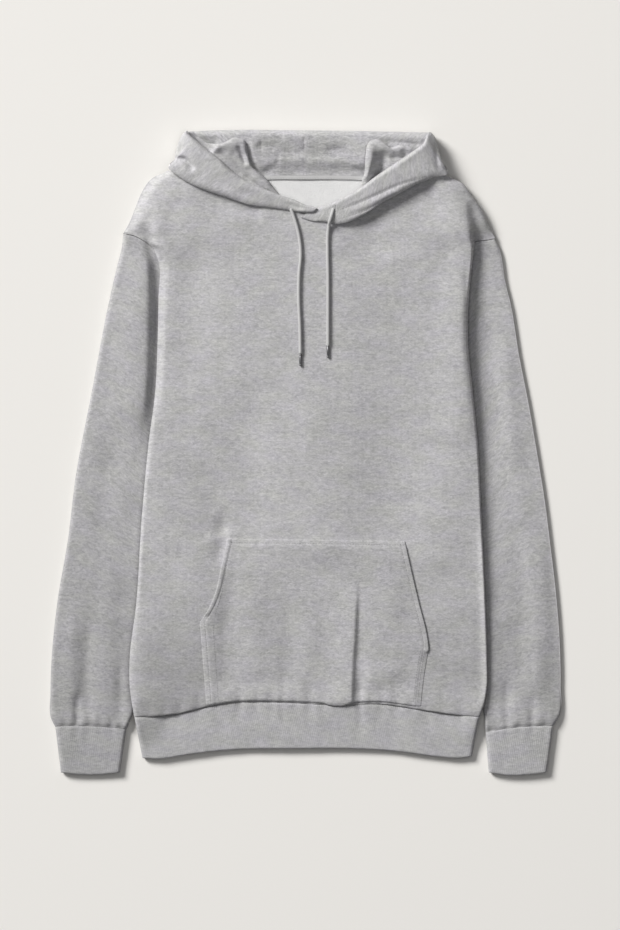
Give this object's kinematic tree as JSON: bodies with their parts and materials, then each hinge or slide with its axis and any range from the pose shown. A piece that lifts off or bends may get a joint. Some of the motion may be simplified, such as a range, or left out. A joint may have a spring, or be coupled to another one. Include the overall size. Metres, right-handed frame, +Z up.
{
  "type": "pullover hoodie",
  "caption": "Grey melange pullover hoodie laid flat on its back, with a hood, drawstrings, a kangaroo pocket and ribbed cuffs and hem.",
  "frame": {"origin": "centre of the garment's outline on the surface it lies on, z = 0 at that surface", "axes": "+X to the wearer's left, +Y from the hem up to the hood, +Z up, out of the front"},
  "size_m": [0.6394, 0.8068, 0.0374],
  "materials": {
    "body_front_knit": "grey melange sweatshirt knit, soft nap, matt",
    "body_back_knit": "grey melange sweatshirt knit, soft nap, matt",
    "sleeve_right_knit": "grey melange sweatshirt knit, soft nap, matt",
    "sleeve_left_knit": "grey melange sweatshirt knit, soft nap, matt",
    "cuff_right_rib": "ribbed knit, grey melange, matt",
    "cuff_left_rib": "ribbed knit, grey melange, matt",
    "hem_rib": "ribbed knit, grey melange, matt",
    "pocket_knit": "grey melange sweatshirt knit, soft nap, matt",
    "hood_back_knit": "grey melange sweatshirt knit, soft nap, matt",
    "hood_lining_right_knit": "grey melange sweatshirt knit, soft nap, matt",
    "hood_lining_left_knit": "grey melange sweatshirt knit, soft nap, matt",
    "hood_fold_right_knit": "grey melange sweatshirt knit, soft nap, matt",
    "hood_fold_left_knit": "grey melange sweatshirt knit, soft nap, matt",
    "hood_right_knit": "grey melange sweatshirt knit, soft nap, matt",
    "hood_left_knit": "grey melange sweatshirt knit, soft nap, matt",
    "neck_tape_cotton": "flat woven tape, matt",
    "drawstring_right_cotton": "braided cord, matt",
    "drawstring_left_cotton": "braided cord, matt",
    "tip_right_metal": "dark plated metal, softly polished",
    "tip_left_metal": "dark plated metal, softly polished"
  },
  "bodies": {
    "root": {"body_front": "body_front_knit", "body_back": "body_back_knit", "sleeve_right": "sleeve_right_knit", "sleeve_left": "sleeve_left_knit", "cuff_right": "cuff_right_rib", "cuff_left": "cuff_left_rib", "hem_band": "hem_rib", "pocket": "pocket_knit", "hood_back": "hood_back_knit", "hood_lining_right": "hood_lining_right_knit", "hood_lining_left": "hood_lining_left_knit", "hood_fold_right": "hood_fold_right_knit", "hood_fold_left": "hood_fold_left_knit", "hood_right": "hood_right_knit", "hood_left": "hood_left_knit", "neck_tape": "neck_tape_cotton", "drawstring_right": "drawstring_right_cotton", "drawstring_left": "drawstring_left_cotton", "tip_right": "tip_right_metal", "tip_left": "tip_left_metal"}
  },
  "joints": []
}
